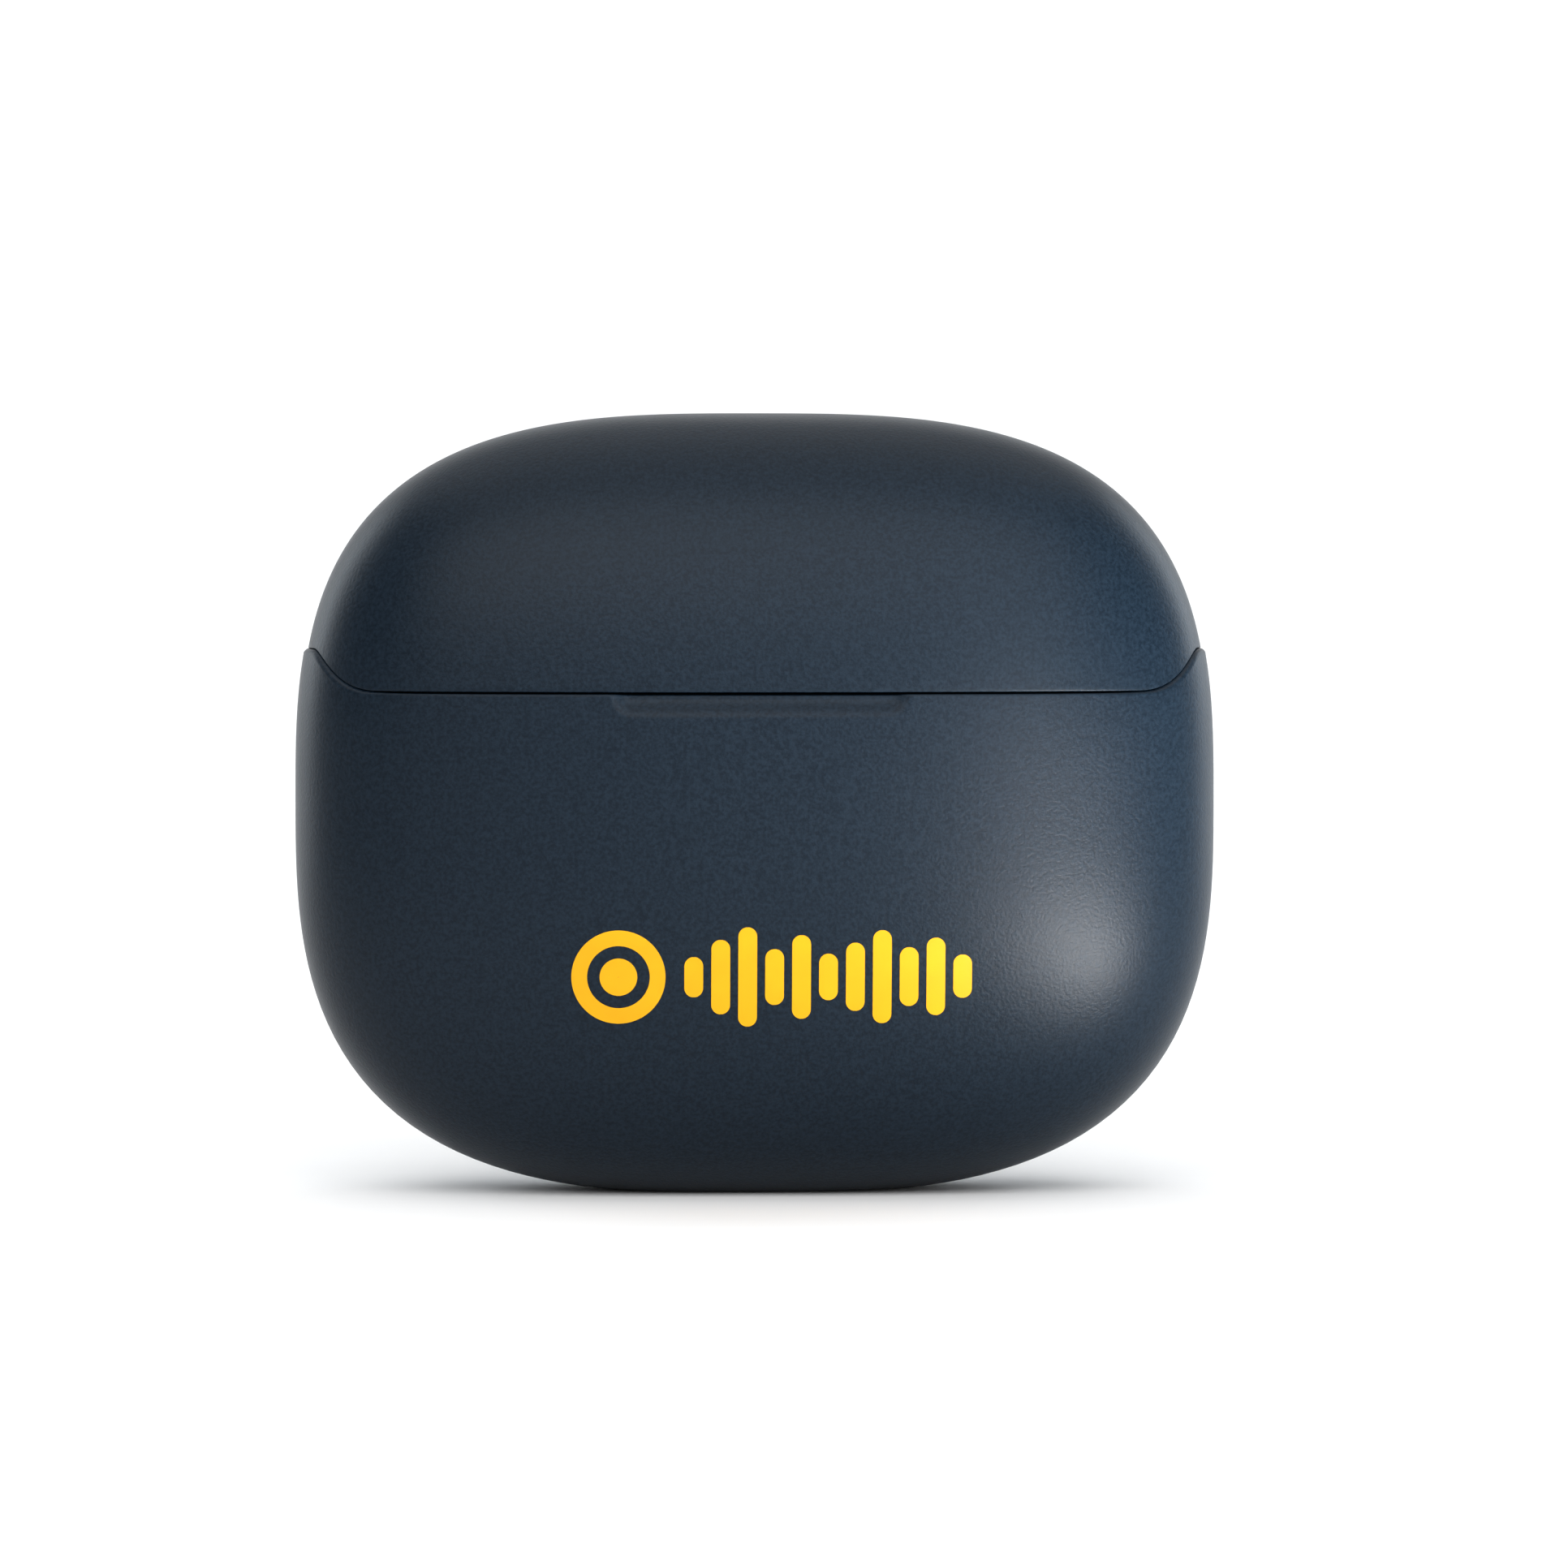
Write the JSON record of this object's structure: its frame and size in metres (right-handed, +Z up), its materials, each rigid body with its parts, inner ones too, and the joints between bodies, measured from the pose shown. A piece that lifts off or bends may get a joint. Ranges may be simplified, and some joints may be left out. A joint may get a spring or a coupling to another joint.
{
  "type": "wireless earbuds case",
  "caption": "Pebble-shaped pocket charging case with a magnet-latched hinged lid, a cradle with two earbud wells, sprung charging contacts, a battery and a USB-C socket.",
  "frame": {"origin": "middle of the small flat on the underside that the case stands on", "axes": "+Z up through the lid, -Y out of the front, +X along the case's width"},
  "size_m": [0.06, 0.027, 0.0507],
  "materials": {
    "soft_touch": "soft-touch coating over moulded plastic, fine grain",
    "inner_plastic": "moulded plastic, satin",
    "black_plastic": "moulded plastic",
    "steel": "plain steel",
    "gold": "gold plated",
    "magnet": "nickel plated magnet",
    "board": "solder mask over glass fibre",
    "chip": "moulded package",
    "cell_wrap": "pouch foil",
    "foam": "closed-cell foam",
    "red_lead": "wire insulation",
    "black_lead": "wire insulation",
    "light_guide": "clear moulding, frosted",
    "flat_cable": "polyimide flat cable",
    "print": "pad-printed ink"
  },
  "bodies": {
    "base": {"lower_shell": "soft_touch", "cradle": "inner_plastic", "usb_socket_tongue": "black_plastic", "battery_connector": "black_plastic", "contact_block_left": "black_plastic", "contact_block_right": "black_plastic", "hinge_pin": "steel", "hinge_spring": "steel", "board_screw_left": "steel", "board_screw_right": "steel", "usb_socket_shell": "steel", "timing_crystal": "steel", "contact_spring_left_inner": "steel", "contact_spring_left_outer": "steel", "contact_spring_right_inner": "steel", "contact_spring_right_outer": "steel", "well_magnet_left": "magnet", "well_magnet_right": "magnet", "latch_magnet_base_left": "magnet", "latch_magnet_base_right": "magnet", "main_board": "board", "sensor_board": "board", "battery_protection_board": "board", "charge_chip": "chip", "power_inductor": "chip", "hall_sensor": "chip", "battery_cell": "cell_wrap", "battery_foam_pad": "foam", "battery_lead_positive": "red_lead", "battery_lead_negative": "black_lead", "light_guide": "light_guide", "status_led": "light_guide", "sensor_flat_cable": "flat_cable"},
    "lid": {"lid_shell": "soft_touch", "lid_liner": "inner_plastic", "lid_hinge_arm": "soft_touch", "hinge_screw_left": "steel", "hinge_screw_right": "steel", "latch_magnet_lid_left": "magnet", "latch_magnet_lid_right": "magnet", "trigger_magnet": "magnet"},
    "contact_pin_left_inner": {"contact_pin_left_inner": "gold"},
    "contact_pin_left_outer": {"contact_pin_left_outer": "gold"},
    "contact_pin_right_inner": {"contact_pin_right_inner": "gold"},
    "contact_pin_right_outer": {"contact_pin_right_outer": "gold"}
  },
  "joints": [
    {"name": "lid_hinge", "type": "hinge", "parent": "base", "child": "lid", "pos_m": [0, 0.01145, 0.0321], "axis": [-1, 0, 0], "range_deg": [0, 100], "deforming": ["hinge_spring"]},
    {"name": "contact_press_left_inner", "type": "slide", "parent": "base", "child": "contact_pin_left_inner", "axis": [0, 0, 1], "range_m": [-0.0004, 0], "stiffness_N_per_m": 150, "springref_m": 0.0003, "deforming": ["contact_spring_left_inner"]},
    {"name": "contact_press_left_outer", "type": "slide", "parent": "base", "child": "contact_pin_left_outer", "axis": [0, 0, 1], "range_m": [-0.0004, 0], "stiffness_N_per_m": 150, "springref_m": 0.0003, "deforming": ["contact_spring_left_outer"]},
    {"name": "contact_press_right_inner", "type": "slide", "parent": "base", "child": "contact_pin_right_inner", "axis": [0, 0, 1], "range_m": [-0.0004, 0], "stiffness_N_per_m": 150, "springref_m": 0.0003, "deforming": ["contact_spring_right_inner"]},
    {"name": "contact_press_right_outer", "type": "slide", "parent": "base", "child": "contact_pin_right_outer", "axis": [0, 0, 1], "range_m": [-0.0004, 0], "stiffness_N_per_m": 150, "springref_m": 0.0003, "deforming": ["contact_spring_right_outer"]}
  ]
}
